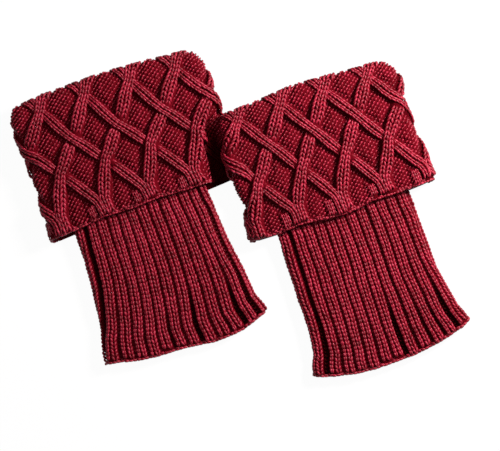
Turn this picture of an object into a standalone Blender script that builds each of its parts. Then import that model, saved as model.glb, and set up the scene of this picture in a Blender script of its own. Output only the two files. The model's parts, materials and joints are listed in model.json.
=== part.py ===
"""A pair of knitted boot cuffs, laid flat side by side.

Each cuff is a ribbed tube whose patterned top is turned down over it as a wide
band. Lengths in the tables are millimetres in each cuff's own frame: x across
it, y along it from the hem of the ribs (minus) to the fold (plus), z up.
"""

import math

import bmesh
import bpy

MM = 0.001

BAND_WALL = 2.2        # cloth of the turned-down band, under its cables
RIB_WALL = 2.2         # cloth of the tube, under its ribs
LAYER_GAP = 0.5        # band to tube, face to face
SEAM_GAP = 0.3         # band to tube, end to end below the fold
BAND_HEIGHT = 13.0     # band laid flat, floor to its ground
RIB_HEIGHT = 7.0       # free tube laid flat, floor to its ground
BAND_ROUND = 7.5       # how far in from its edge the band starts to round over
RIB_ROUND = 5.5
FOLD_RADIUS = (BAND_WALL + LAYER_GAP + RIB_WALL) / 2
TUBE_INSET = BAND_WALL + LAYER_GAP
SEAM_ALONG = 66.0      # where band and tube meet, inside the fold
HIDDEN_SLACK = 0.6     # more room round the tube between the fold and the band's hem
EDGE_TURN = 0.5        # how far a hem's last row turns in
PUFF = 0.10            # how much more the middle of a cuff stands up
PUFF_REACH = 66.0      # from the middle to where it ends
LIFT_FROM, LIFT_TO = -49.0, -60.0

CABLE_RISE = 2.4
CABLE_HALF = 1.5       # half a cable's foot, in columns
CABLE_LIFT = 0.5       # the cable on top, where two cross
CABLE_DIP = 0.55       # the share that the one below loses there
DIAMOND_RISE = 0.5
COLUMNS = 12           # of the band's mesh, to one diamond
HALF_ROWS = 6          # of the band's mesh, from one crossing to the next
HEM_ROW = 20
FOLD_ROW = -1.5
HEM_WAVE_FROM = 8.0    # the rows that follow the wave of the band's hem
FOLD_WAVE_FROM = 5.0
PATTERN_SPAN = (-68.0, 86.0)

RIB_RISE = 1.9
RIBS_ACROSS = 13       # on the face that shows
RIB_PITCH = 8.2
RIB_HALF_ROUND = 105.0     # of the tube, where its ribs have that pitch
RIB_PROFILE = ((-2.8, 0), (-1.7, 1), (1.7, 1), (2.8, 0))
PLAIN_BESIDE_RIBS = (1.0, 4.5)
HEM_WAVE_SHARE = 0.6       # of the tube, down to where its hem's wave starts
FLOOR_STEPS = 6        # mesh columns on each half of an underside

FLAP_HEIGHT = 5.4      # the band's lower layers, where its upper one is tucked in

# how far down from the seam the tube's rings lie, as shares of it
TUBE_OUTSIDE = (0.0, 0.12, 0.26, 0.4, 0.435, 0.47, 0.51, 0.55, 0.61, 0.68, 0.75, 0.82, 0.88, 0.94, 0.985)
TUBE_INSIDE = (1.0, 0.8, 0.55, 0.44, 0.26, 0.12, 0.0)
TUBE_PLAIN_TO = 0.4        # under the band, where every other column is enough
BAND_INSIDE = (FOLD_ROW, 3, 9, 13, 17, HEM_ROW)

YARN = (0.235, 0.012, 0.030)

LEFT = {
    "name": "left",
    "turn": 18.0,
    "place": (-71.0, 1.5),
    "middle": 8.4,
    "pitch": 33.0,     # width of one diamond
    "cross": -7.7,     # where cables cross in the first row below the fold
    # along, left edge, right edge
    "band": (
        (85.5, -59.4, 74.6),
        (78.0, -63.0, 78.2),
        (72.0, -62.8, 79.0),
        (56.0, -62.0, 78.8),
        (44.0, -61.0, 80.6),
        (38.0, -61.0, 80.2),
        (32.0, -60.4, 79.4),
        (20.0, -60.2, 76.8),
        (10.0, -61.4, 75.6),
        (0.0, -61.6, 74.4),
        (-9.0, -63.4, 72.8),
    ),
    # along, how far tucked, edge of the upper layer
    "tuck": (
        (44.0, 0.0, 74.0),
        (35.0, 0.85, 67.0),
        (28.0, 1.0, 64.2),
        (14.0, 1.0, 61.6),
        (0.0, 1.0, 59.6),
        (-9.0, 1.0, 58.4),
    ),
    # mesh row, along, sideways drift of the pattern
    "rows": (
        (-1.5, 85.5, 0.0),
        (0.0, 77.7, 0.0),
        (6.0, 52.5, 0.0),
        (12.0, 32.2, 0.7),
        (18.0, 1.4, 6.3),
        (20.0, -6.0, 7.0),
    ),
    # way round from the middle, hem along
    "hem": (
        (-100.0, -10.5),
        (-80.0, -12.0),
        (-70.0, -9.6),
        (-56.0, -8.8),
        (-29.0, -5.4),
        (-8.0, -5.8),
        (12.0, -4.4),
        (34.0, -5.2),
        (52.0, -5.0),
        (66.0, -7.0),
        (80.0, -8.8),
        (100.0, -10.5),
    ),
    # way round from the middle, fold along
    "fold": (
        (-100.0, 80.0),
        (-80.0, 78.0),
        (-67.0, 83.0),
        (-60.0, 84.8),
        (-50.0, 86.0),
        (-24.0, 87.6),
        (-3.0, 88.2),
        (12.0, 88.0),
        (38.0, 86.6),
        (60.0, 85.0),
        (69.0, 82.4),
        (80.0, 77.0),
        (100.0, 80.0),
    ),
    # along, left edge, right edge
    "rib": (
        (-4.0, -43.0, 52.4),
        (-28.0, -43.4, 53.9),
        (-42.0, -43.9, 55.3),
        (-56.0, -44.5, 57.1),
        (-72.0, -46.2, 60.1),
        (-84.0, -48.3, 61.6),
        (-95.0, -51.1, 64.1),
        (-104.0, -52.2, 66.3),
    ),
    # way round from the middle, hem of the ribs along
    "rib_hem": (
        (-70.0, -104.0),
        (-58.0, -102.0),
        (-50.0, -105.0),
        (-36.0, -108.6),
        (-22.0, -110.0),
        (-2.0, -110.3),
        (20.0, -112.7),
        (33.0, -111.8),
        (41.0, -110.6),
        (50.0, -107.2),
        (58.0, -103.2),
        (70.0, -104.0),
    ),
    # each rib's shift from even spacing, in ribs, from the left one to the right one
    "upper_shift": (0.0, 0.2, 0.25, 0.28, 0.25, 0.15, 0.17, 0.28, 0.3, 0.25, 0.23, 0.2, 0.3),
    "hem_shift": (-0.6, -0.5, -0.31, -0.34, -0.44, -0.47, -0.43, -0.46, -0.33, -0.21, -0.17, 0.17, 0.34),
    # along, how much the left edge is lifted by what lies under it
    "lift": ((90.0, 0.0), (-120.0, 0.0)),
}

RIGHT = {
    "name": "right",
    "turn": 18.5,
    "place": (72.5, -2.0),
    "middle": 5.0,
    "pitch": 31.8,
    "cross": 17.3,
    "band": (
        (85.5, -52.2, 65.0),
        (78.4, -54.0, 69.7),
        (72.8, -55.0, 72.1),
        (65.0, -56.6, 71.0),
        (56.0, -61.2, 68.2),
        (39.0, -62.6, 70.0),
        (28.0, -61.4, 71.4),
        (16.8, -60.9, 72.0),
        (5.6, -64.0, 71.8),
        (-9.0, -65.2, 73.0),
    ),
    "tuck": (
        (90.0, 0.0, 60.0),
        (-9.0, 0.0, 60.0),
    ),
    "rows": (
        (-1.5, 85.5, 0.0),
        (0.0, 78.4, 0.0),
        (6.0, 54.6, 0.0),
        (12.0, 31.5, 0.0),
        (18.0, 2.8, 3.5),
        (20.0, -6.0, 4.0),
    ),
    "hem": (
        (-100.0, -7.5),
        (-80.0, -7.0),
        (-68.0, -5.0),
        (-50.0, -6.4),
        (-30.0, -5.0),
        (-14.0, -7.0),
        (2.0, -8.0),
        (20.0, -5.2),
        (46.0, -5.4),
        (66.0, -4.6),
        (80.0, -6.2),
        (100.0, -7.5),
    ),
    "fold": (
        (-100.0, 78.0),
        (-76.0, 80.0),
        (-62.0, 82.8),
        (-41.0, 83.6),
        (-27.0, 84.9),
        (-4.0, 86.8),
        (21.0, 85.2),
        (50.0, 83.6),
        (58.0, 83.0),
        (66.0, 79.6),
        (80.0, 74.0),
        (100.0, 78.0),
    ),
    "rib": (
        (-4.0, -45.0, 50.8),
        (-28.0, -44.9, 51.5),
        (-56.0, -44.8, 52.5),
        (-67.0, -44.8, 53.6),
        (-78.0, -44.8, 55.3),
        (-90.0, -46.9, 58.1),
        (-101.0, -50.4, 61.3),
        (-108.0, -52.6, 63.4),
    ),
    "rib_hem": (
        (-70.0, -108.0),
        (-60.0, -108.5),
        (-49.0, -112.7),
        (-28.0, -116.9),
        (-14.0, -117.9),
        (14.0, -117.2),
        (35.0, -113.9),
        (51.0, -109.5),
        (60.0, -105.5),
        (70.0, -108.0),
    ),
    "upper_shift": (0.05, 0.42, 0.5, 0.57, 0.62, 0.66, 0.66, 0.68, 0.66, 0.65, 0.64, 0.7, 0.75),
    "hem_shift": (0.1, 0.42, 0.5, 0.42, 0.4, 0.4, 0.4, 0.52, 0.6, 0.66, 0.74, 0.9, 1.0),
    "lift": (
        (90.0, 1.0),
        (66.0, 3.6),
        (40.0, 3.6),
        (8.0, 0.0),
        (-120.0, 0.0),
    ),
}


def read(table, key, column=1):
    """The value of a table's column at a key that lies between two rows."""
    rows = table if table[0][0] < table[-1][0] else table[::-1]
    if key <= rows[0][0]:
        return rows[0][column]
    for low, high in zip(rows, rows[1:]):
        if key <= high[0]:
            share = (key - low[0]) / (high[0] - low[0])
            return low[column] + share * (high[column] - low[column])
    return rows[-1][column]


def smooth(share):
    share = min(1.0, max(0.0, share))
    return share * share * (3 - 2 * share)


def ramp(x, low, high):
    """0 at low, 1 at high and smooth between."""
    return smooth((x - low) / (high - low))


def side_outline(edge, base, top, rounding, steps=24):
    """Half an oval from the top of a section to its floor: x, z and the way in."""
    half = (top - base) / 2
    points = []
    for step in range(steps + 1):
        angle = math.pi * (0.5 - step / steps)
        across, up = math.cos(angle), math.sin(angle)
        points.append((edge - rounding * (1 - across), base + half * (1 + up), -across, -up))
    return points


def tucked_outline(edge, flap, base, top, steps=24):
    """The same where the upper layer turns down at edge and the lower ones run on to flap."""
    shelf = base + FLAP_HEIGHT
    corners = [
        (edge - 4.0, top),
        (edge - 0.4, top - 0.8),
        (edge + 0.6, top - 3.2),
        (edge - 1.2, shelf + 1.2),
        (edge + 2.0, shelf),
        (flap - 3.4, shelf),
        (flap - 0.5, shelf - 0.7),
        (flap, base + FLAP_HEIGHT / 2),
        (flap - 0.5, base + 0.7),
        (flap - 3.4, base),
    ]
    for _ in range(2):
        cut = [corners[0]]
        for (x, z), (next_x, next_z) in zip(corners, corners[1:]):
            cut.append((0.75 * x + 0.25 * next_x, 0.75 * z + 0.25 * next_z))
            cut.append((0.25 * x + 0.75 * next_x, 0.25 * z + 0.75 * next_z))
        corners = cut + [corners[-1]]
    runs = [0.0]
    for (x, z), (next_x, next_z) in zip(corners, corners[1:]):
        runs.append(runs[-1] + math.hypot(next_x - x, next_z - z))
    table_x = tuple((run, x, z) for run, (x, z) in zip(runs, corners))
    points = []
    for step in range(steps + 1):
        run = runs[-1] * step / steps
        before, after = max(0.0, run - 0.6), min(runs[-1], run + 0.6)
        dx = read(table_x, after, 1) - read(table_x, before, 1)
        dz = read(table_x, after, 2) - read(table_x, before, 2)
        size = math.hypot(dx, dz)
        points.append((read(table_x, run, 1), read(table_x, run, 2), dz / size, -dx / size))
    return points


def blend(first, second, share):
    mixed = []
    for a, b in zip(first, second):
        x, z, in_x, in_z = (p + share * (q - p) for p, q in zip(a, b))
        size = math.hypot(in_x, in_z)
        mixed.append((x, z, in_x / size, in_z / size))
    return mixed


class Section:
    """One outline across a cuff. at() gives the point a way round it from its middle."""

    def __init__(self, left, right, base, top, rounding, middle, tuck=0.0, edge=0.0):
        self.base, self.tuck, self.edge = base, tuck, edge
        outline = side_outline(right, base, top, rounding)
        if tuck > 0:
            outline = blend(outline, tucked_outline(edge, right, base, top), tuck)
        mirrored = side_outline(-left, base, top, rounding)
        self.halves = {
            1: self.measured([(middle, top, 0.0, -1.0)] + outline + [(middle, base, 0.0, 1.0)]),
            -1: self.measured(
                [(middle, top, 0.0, -1.0)]
                + [(-x, z, -in_x, in_z) for x, z, in_x, in_z in mirrored]
                + [(middle, base, 0.0, 1.0)]
            ),
        }

    @staticmethod
    def measured(points):
        rows = [(0.0, *points[0])]
        for point in points[1:]:
            step = math.hypot(point[0] - rows[-1][1], point[1] - rows[-1][2])
            if step > 1e-6:
                rows.append((rows[-1][0] + step, *point))
        return tuple(rows)

    def around(self, side):
        return self.halves[side][-1][0]

    def at(self, way):
        half = self.halves[1 if way >= 0 else -1]
        return tuple(read(half, abs(way), column) for column in (1, 2, 3, 4))


def spread_floor(ways, section):
    """The ways round of the seen columns, with the underside's evenly after them."""
    whole = list(ways)
    start = ways[-1]
    room = section.around(1) - start
    whole += [start + room * (step / FLOOR_STEPS) ** 1.3 for step in range(1, FLOOR_STEPS)]
    start = -ways[0]
    room = section.around(-1) - start
    whole += [-(start + room * (step / FLOOR_STEPS) ** 1.3) for step in range(FLOOR_STEPS, 0, -1)]
    return whole


def settle(cuff, x, y, z):
    """Puffs the middle of a cuff up, and lifts its left edge over what it lies on."""
    middle = 1 - ((x - cuff["middle"]) / PUFF_REACH) ** 2
    ends = ramp(y, 90.0, 60.0) * ramp(y, -112.0, -80.0)
    z *= 1 + PUFF * max(0.0, middle) * ends
    z += read(cuff["lift"], y) * ramp(x, LIFT_FROM, LIFT_TO)
    return x * MM, y * MM, z * MM


def cable_rise(column, row):
    """How far the cloth stands up at a column and row of the band's mesh."""
    down_right = (column - row - 0.5 + COLUMNS / 2) % COLUMNS - COLUMNS / 2
    down_left = (column + row - 0.5 + COLUMNS / 2) % COLUMNS - COLUMNS / 2
    rise = 0.0
    for own, other, sign, over_when in ((down_right, down_left, 1, 1), (down_left, down_right, -1, 0)):
        crossing = row - sign * (other - own) / 2
        over = round(crossing / HALF_ROWS) % 2 == over_when
        share = min(1.0, max(0.0, CABLE_HALF - abs(own)))
        height = CABLE_RISE * share
        if over:
            height += CABLE_LIFT * share * ramp(abs(other), 3.5, 1.0)
        else:
            height *= 1 - CABLE_DIP * ramp(abs(other), 3.6, 2.0)
        rise = max(rise, height)
    inside = min(abs(down_right), abs(down_left))
    return max(rise, DIAMOND_RISE * ramp(inside, CABLE_HALF, 5.0))


def band_section(cuff, along):
    return Section(
        read(cuff["band"], along),
        read(cuff["band"], along, 2),
        0.0,
        BAND_HEIGHT,
        BAND_ROUND,
        cuff["middle"],
        read(cuff["tuck"], along),
        read(cuff["tuck"], along, 2),
    )


def band_ring(cuff, row, bend=0.0, inset=None, every=1, level=None):
    """One ring of the band. bend is the angle over the fold; inset is how deep in the cloth
    it lies, or None on the outside, where the cables stand up. every keeps each nth column
    above the floor, and level moves the whole ring to one place along the cuff."""
    column_width = cuff["pitch"] / COLUMNS
    drift = read(cuff["rows"], row, 2)
    along = read(cuff["rows"], row)
    section = band_section(cuff, along)
    first = math.floor((PATTERN_SPAN[0] - cuff["cross"]) / column_width)
    last = math.ceil((PATTERN_SPAN[1] - cuff["cross"]) / column_width)
    seen = list(range(first, last + 1))
    origin = cuff["cross"] - cuff["middle"] + drift - column_width / 2
    ways = spread_floor([origin + column * column_width for column in seen], section)
    ring = []
    for number, way in enumerate(ways):
        if number % every and number < len(seen):
            continue
        x, z, in_x, in_z = section.at(way)
        y = along
        hem_share = max(0.0, (row - HEM_WAVE_FROM) / (HEM_ROW - HEM_WAVE_FROM))
        y += (read(cuff["hem"], way) - cuff["rows"][-1][1]) * hem_share**2
        fold_share = max(0.0, (FOLD_WAVE_FROM - row) / (FOLD_WAVE_FROM - FOLD_ROW))
        y += (read(cuff["fold"], way) - cuff["rows"][0][1]) * fold_share**2
        deep = 0.0 if inset is None else inset
        rise = 0.0
        if inset is None and number < len(seen):
            rise = cable_rise(seen[number], row - bend / 90.0)
            deep = -rise * ramp(z, 1.2, 4.0) * ramp(bend, 150.0, 90.0)
            deep *= 1 - 0.7 * section.tuck * ramp(x, section.edge - 3.0, section.edge)
        if bend > 0:
            radius = FOLD_RADIUS - deep
            angle = math.radians(bend)
            y += radius * math.sin(angle)
            deep = FOLD_RADIUS - radius * math.cos(angle)
        if level is not None:
            y = level
        ring.append((number, settle(cuff, x + in_x * deep, y, z + in_z * deep), rise))
    return ring


def tube_section(cuff, along):
    """The tube widens under the band from the hem of the band to the seam."""
    hidden = ramp(along, 30.0, SEAM_ALONG - SEAM_GAP)
    fold = cuff["rows"][0][1]
    left = read(cuff["rib"], along)
    right = read(cuff["rib"], along, 2)
    left += hidden * (read(cuff["band"], fold) + TUBE_INSET - left)
    right += hidden * (read(cuff["band"], fold, 2) - TUBE_INSET - right)
    slack = LAYER_GAP / 2 + HIDDEN_SLACK * (1 - hidden)
    base = (TUBE_INSET + slack / 2) * ramp(along, -26.0, -11.0)
    under_band = BAND_HEIGHT - TUBE_INSET - slack
    top = RIB_HEIGHT + (under_band - RIB_HEIGHT) * ramp(along, 2.0, 30.0)
    rounding = RIB_ROUND + hidden * (BAND_ROUND - TUBE_INSET - RIB_ROUND)
    middle = (left + right) / 2
    middle += hidden * (cuff["middle"] - middle)
    return Section(left, right, base, top, rounding, middle)


def tube_ring(cuff, share, inset=None, every=1):
    """One ring of the ribbed tube, at a share of the way from the seam to the hem."""
    seam = SEAM_ALONG - SEAM_GAP
    low = read(cuff["rib_hem"], 0.0)
    along = seam + share * (low - seam)
    section = tube_section(cuff, along)
    pitch = RIB_PITCH * (section.around(1) + section.around(-1)) / 2 / RIB_HALF_ROUND
    half = RIBS_ACROSS // 2
    near_hem = ramp(along, -40.0, -100.0)
    ways = []
    rises = []
    for number in range(-half, half + 1):
        upper = cuff["upper_shift"][number + half]
        shift = upper + near_hem * (cuff["hem_shift"][number + half] - upper)
        centre = (number + shift) * pitch
        for offset, rise in RIB_PROFILE:
            ways.append(centre + offset)
            rises.append(rise)
    for outer in PLAIN_BESIDE_RIBS:
        ways = [ways[0] - outer] + ways + [ways[-1] + outer]
        rises = [0] + rises + [0]
    whole = spread_floor(ways, section)
    showing = ramp(along, 18.0, 3.0)
    ring = []
    for number, way in enumerate(whole):
        if number % every and number < len(rises):
            continue
        x, z, in_x, in_z = section.at(way)
        wave = max(0.0, (share - HEM_WAVE_SHARE) / (1 - HEM_WAVE_SHARE))
        y = along + (read(cuff["rib_hem"], way) - low) * wave
        deep = 0.0 if inset is None else inset
        if inset is None and number < len(rises):
            deep = -RIB_RISE * rises[number] * showing * ramp(z - section.base, 1.0, 2.6)
        ring.append((number, settle(cuff, x + in_x * deep, y, z + in_z * deep), 0.0))
    return ring


def bridge(mesh, upper, lower):
    """Faces between two closed rings, which may differ in their number of points. A square
    is split so that its diagonal runs along a cable and not over its side."""
    (upper_keys, upper_verts, upper_rise), (lower_keys, lower_verts, lower_rise) = upper, lower
    if upper_keys == lower_keys:
        count = len(upper_verts)
        for here in range(count):
            after = (here + 1) % count
            a, b = upper_verts[here], upper_verts[after]
            c, d = lower_verts[after], lower_verts[here]
            down_right = abs(upper_rise[here] - lower_rise[after])
            down_left = abs(upper_rise[after] - lower_rise[here])
            if down_right <= down_left:
                mesh.faces.new((a, b, c))
                mesh.faces.new((a, c, d))
            else:
                mesh.faces.new((a, b, d))
                mesh.faces.new((b, c, d))
        return
    i = j = 0
    while i < len(upper_verts) or j < len(lower_verts):
        a, d = upper_verts[i % len(upper_verts)], lower_verts[j % len(lower_verts)]
        next_upper = upper_keys[i + 1] if i + 1 < len(upper_keys) else math.inf
        next_lower = lower_keys[j + 1] if j + 1 < len(lower_keys) else math.inf
        if j >= len(lower_verts) or (i < len(upper_verts) and next_upper <= next_lower):
            mesh.faces.new((a, upper_verts[(i + 1) % len(upper_verts)], d))
            i += 1
        else:
            mesh.faces.new((a, lower_verts[(j + 1) % len(lower_verts)], d))
            j += 1


def loft(name, rings, cuff, material, collection):
    """A closed wall through rings that run round it and back to the first."""
    mesh = bmesh.new()
    made = []
    for ring in rings:
        keys, points, rises = zip(*ring)
        made.append((keys, [mesh.verts.new(point) for point in points], rises))
    for upper, lower in zip(made, made[1:] + made[:1]):
        bridge(mesh, upper, lower)
    bmesh.ops.recalc_face_normals(mesh, faces=mesh.faces)
    if mesh.calc_volume(signed=True) < 0:
        bmesh.ops.reverse_faces(mesh, faces=mesh.faces)
    data = bpy.data.meshes.new(name)
    mesh.to_mesh(data)
    mesh.free()
    data.shade_smooth()
    data.materials.append(material)
    piece = bpy.data.objects.new(name, data)
    piece.rotation_euler.z = math.radians(cuff["turn"])
    piece.location = (cuff["place"][0] * MM, cuff["place"][1] * MM, 0.0)
    collection.objects.link(piece)
    return piece


def turndown_band(cuff, material, collection):
    """Outside from hem to fold, over it, down inside to the seam, and back in the cloth."""
    rings = [band_ring(cuff, HEM_ROW, inset=EDGE_TURN)]
    rings += [band_ring(cuff, row) for row in range(HEM_ROW - 1, -2, -1)]
    rings += [band_ring(cuff, FOLD_ROW, bend=bend) for bend in (0.1, 45.0, 90.0, 135.0)]
    rings.append(band_ring(cuff, FOLD_ROW, bend=180.0, inset=0.0, every=2))
    for deep in (0.0, BAND_WALL):
        rings.append(band_ring(cuff, FOLD_ROW, inset=2 * FOLD_RADIUS - deep, every=2, level=SEAM_ALONG))
    rings += [band_ring(cuff, FOLD_ROW, bend=bend, inset=BAND_WALL, every=2) for bend in (180.0, 90.0)]
    rings += [band_ring(cuff, row, inset=BAND_WALL, every=2) for row in BAND_INSIDE]
    return loft(cuff["name"] + "_turndown_band", rings, cuff, material, collection)


def rib_tube(cuff, material, collection):
    """Outside from the seam to the hem, and back up inside."""
    rings = [tube_ring(cuff, share, every=2 if share < TUBE_PLAIN_TO else 1) for share in TUBE_OUTSIDE]
    rings.append(tube_ring(cuff, 1.0, inset=EDGE_TURN))
    rings += [tube_ring(cuff, share, inset=RIB_WALL, every=2) for share in TUBE_INSIDE]
    return loft(cuff["name"] + "_rib_tube", rings, cuff, material, collection)


def centre_on_floor(pieces):
    """Puts the origin on the floor under the middle of the pair."""
    bpy.context.view_layer.update()
    points = [piece.matrix_world @ vertex.co for piece in pieces for vertex in piece.data.vertices]
    for axis in (0, 1):
        low = min(point[axis] for point in points)
        high = max(point[axis] for point in points)
        for piece in pieces:
            piece.location[axis] -= (low + high) / 2


def clear_scene():
    for item in list(bpy.data.objects):
        bpy.data.objects.remove(item, do_unlink=True)


def yarn_material():
    material = bpy.data.materials.new("Burgundy wool")
    material.use_nodes = True
    shader = material.node_tree.nodes["Principled BSDF"]
    shader.inputs["Base Color"].default_value = (*YARN, 1.0)
    shader.inputs["Roughness"].default_value = 0.9
    shader.inputs["Metallic"].default_value = 0.0
    return material


def main():
    clear_scene()
    collection = bpy.data.collections.new("Knitted boot cuffs")
    bpy.context.scene.collection.children.link(collection)
    material = yarn_material()
    pieces = []
    for cuff in (LEFT, RIGHT):
        pieces.append(turndown_band(cuff, material, collection))
        pieces.append(rib_tube(cuff, material, collection))
    centre_on_floor(pieces)


main()
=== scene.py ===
import json
import math
import bpy
import numpy as np
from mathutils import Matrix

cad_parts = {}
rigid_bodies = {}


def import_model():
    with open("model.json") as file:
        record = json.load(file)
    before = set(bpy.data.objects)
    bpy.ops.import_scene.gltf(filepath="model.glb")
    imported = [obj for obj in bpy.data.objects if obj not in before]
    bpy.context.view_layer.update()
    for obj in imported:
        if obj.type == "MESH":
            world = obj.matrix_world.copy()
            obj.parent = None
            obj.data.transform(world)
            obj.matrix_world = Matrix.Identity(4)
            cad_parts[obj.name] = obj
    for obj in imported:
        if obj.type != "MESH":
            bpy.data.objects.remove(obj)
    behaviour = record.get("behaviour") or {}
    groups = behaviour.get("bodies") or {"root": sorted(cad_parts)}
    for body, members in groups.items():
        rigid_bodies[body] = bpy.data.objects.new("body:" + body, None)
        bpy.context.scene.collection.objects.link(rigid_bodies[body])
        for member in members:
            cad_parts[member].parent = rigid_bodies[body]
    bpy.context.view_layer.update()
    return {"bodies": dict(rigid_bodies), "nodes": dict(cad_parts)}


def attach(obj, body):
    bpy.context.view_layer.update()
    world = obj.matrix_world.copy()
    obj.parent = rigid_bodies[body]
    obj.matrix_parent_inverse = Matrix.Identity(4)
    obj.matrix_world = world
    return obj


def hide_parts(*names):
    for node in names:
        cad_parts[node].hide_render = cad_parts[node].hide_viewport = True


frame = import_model()
mm = 0.001
print("frame loaded:", sorted(frame["nodes"]))


# the two cuffs, in millimetres in each one's own frame
# x across, y from the rib hem (minus) to the fold (plus), z up from the floor

make = dict(
    bandWall=2.2,  # cloth of the turned-down band, under its cables
    tubeWall=2.2,  # cloth of the tube, under its ribs
    layerGap=0.5,  # band to tube, face to face
    seamGap=0.3,
    bandHeight=13,  # band laid flat, floor to its ground
    tubeHeight=7,  # free tube laid flat, floor to its ground
    bandRound=7.5,
    tubeRound=5.5,
    seamAlong=66,  # where band and tube meet inside the fold
    widenFrom=30,  # from here up the tube widens to fill the band
    tubeLift=(-26, -11),  # where the tube's underside leaves the floor
    tubeRise=(2, 30),  # and its top rises under the band
    hiddenSlack=0.6,
    puff=0.10,  # how much more the middle stands up
    puffReach=66,
    puffTop=(90, 60),  # where the puff starts, from the fold down
    puffHem=(-112, -80),  # and from the rib hem up
    liftAcross=(-49, -60),
    floorFade=(0.6, 3.4),
    flapHeight=5.4,  # the band's lower layers, where the upper one is tucked in
    columns=12,  # one diamond is this many columns wide
    halfRows=6,  # and this many rows from crossing to crossing
    hemRow=20,
    foldRow=-1.5,
    hemWaveFrom=8,
    foldWaveFrom=5,
    ribPitch=8.2,
    ribHalfRound=105,  # half the way round the tube, where its ribs have that pitch
    ribs=13,  # on the face that shows
    hemWaveShare=0.6,
)
foldRadius = (make["bandWall"] + make["layerGap"] + make["tubeWall"]) / 2
tubeInset = make["bandWall"] + make["layerGap"]

leftCuff = dict(
    name="left", turn=18, place=(-76.8587, 9.1265), middle=8.4, pitch=33, cross=-7.7, seed=3,
    band=[(85.5, -60.8, 74.6), (78, -63.6, 78.8), (72, -63.3, 79), (56, -61.4, 78.4),
          (44, -60, 80.2), (38, -61, 80.2), (32, -61.2, 79.4), (20, -60.2, 76.8),
          (10, -61.4, 75.6), (0, -61.6, 74.4), (-9, -63.4, 72.8)],
    tuck=[(44, 0, 73), (35, 0.85, 65), (28, 1, 62), (14, 1, 59.2),
          (0, 1, 57.4), (-9, 1, 56.6)],
    rows=[(-1.5, 85.5, 0), (0, 77.7, 0), (6, 52.5, 0), (12, 32.2, 0.7),
          (18, 1.4, 6.3), (20, -6, 7)],
    hem=[(-100, -10.5), (-80, -12), (-70, -9.6), (-56, -8.8), (-29, -5.4), (-8, -5.8),
         (12, -4.4), (34, -5.2), (52, -5), (66, -7), (80, -8.8), (100, -10.5)],
    fold=[(-100, 83), (-80, 81), (-67, 83.8), (-60, 84.8), (-50, 86), (-24, 87.6),
          (-3, 88.2), (12, 88), (38, 86.6), (60, 85), (69, 82.4), (80, 77), (100, 80)],
    rib=[(-4, -41.8, 51), (-28, -42, 53.1), (-42, -42.6, 54.3), (-56, -43.2, 56.2),
         (-72, -44.5, 59.1), (-84, -45.9, 60.1), (-95, -49.1, 61.4), (-104, -51.2, 64.6),
         (-110, -51.8, 66.2)],
    ribHem=[(-70, -105.5), (-58, -104.4), (-50, -105.6), (-36, -108.6), (-22, -110),
            (-2, -110.3), (20, -112.7), (33, -111.8), (41, -110.6), (50, -107.2),
            (58, -104.2), (70, -105)],
    upperShift=[-0.2, 0.12, 0.19, 0.26, 0.24, 0.13, 0.2, 0.36, 0.43, 0.33, 0.4, 0.38, 0.28],
    hemShift=[-0.72, -0.66, -0.37, -0.36, -0.44, -0.44, -0.36, -0.36, -0.2, -0.04, 0.04, 0.36, 0.22],
    lift=[(90, 0), (-120, 0)],
    yarn=(1.4, 1, -0.1, 0.5, 1.2),  # room for it: band left, right, tube left, right, fold
    upperValley=[3.2, 1.3, 1.4, 1.6, 1.3, 1.4, 1.4, 1.9, 1.3, 1.4, 1.5, 2.4],
    hemValley=[3.4, 2.4, 1.9, 2.2, 1.6, 2.6, 2, 3.8, 1.9, 2.4, 4, 3.4],
)

rightCuff = dict(
    name="right", turn=18.5, place=(66.6413, 5.6265), middle=5, pitch=31.8, cross=17.3, seed=11,
    band=[(85.5, -56.6, 65), (78.4, -58.2, 71), (72.8, -58.6, 71.8), (65, -59.6, 70.4),
          (56, -62, 68), (39, -62.4, 70.4), (28, -61.2, 71), (16.8, -59.8, 71.3),
          (5.6, -63, 71.5), (-9, -64.8, 72.8)],
    tuck=[(90, 0, 60), (-9, 0, 60)],
    rows=[(-1.5, 85.5, 0), (0, 78.4, 0), (6, 54.6, 0), (12, 31.5, 0),
          (18, 2.8, 3.5), (20, -6, 4)],
    hem=[(-100, -7.5), (-80, -7), (-68, -5), (-50, -6.4), (-30, -5), (-14, -7),
         (2, -8), (20, -5.2), (46, -5.4), (66, -4.6), (80, -6.2), (100, -7.5)],
    fold=[(-100, 78), (-76, 80), (-62, 82.8), (-41, 83.6), (-27, 84.9), (-4, 86.8),
          (21, 85.2), (50, 83.6), (58, 83.2), (66, 81.8), (80, 77.5), (100, 79)],
    rib=[(-4, -44.4, 50.2), (-28, -43.6, 51.2), (-44, -43.5, 51.7), (-56, -44, 51.9),
         (-67, -44, 52.9), (-78, -44.3, 54.5), (-90, -45.4, 56.1), (-101, -47, 58.2),
         (-110, -50.4, 61.4), (-118, -51.6, 63.6)],
    ribHem=[(-70, -108), (-60, -108.5), (-49, -112.7), (-28, -116.9), (-14, -117.9),
            (14, -117.2), (35, -113.9), (51, -109.5), (60, -105.5), (70, -108)],
    upperShift=[0.05, 0.42, 0.5, 0.57, 0.62, 0.66, 0.66, 0.68, 0.66, 0.65, 0.64, 0.7, 0.75],
    hemShift=[0.1, 0.42, 0.5, 0.42, 0.4, 0.4, 0.4, 0.52, 0.6, 0.66, 0.74, 0.9, 1],
    lift=[(90, 1), (66, 3.6), (40, 3.6), (8, 0), (-120, 0)],
    yarn=(1, 1.4, -0.1, -0.5, 1.3),
    upperValley=[2.8, 1.3, 1.5, 1.3, 1.4, 1.3, 1.4, 2.2, 1.3, 1.5, 1.7, 2.2],
    hemValley=[4.4, 2.2, 2.1, 2, 2.2, 1.9, 4, 2.3, 2.6, 2.6, 3.8, 2.8],
)


def column(table, key, which=1):
    # a column of a table, read between its rows
    rows = np.array(sorted(table))
    return np.interp(key, rows[:, 0], rows[:, which])


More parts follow.
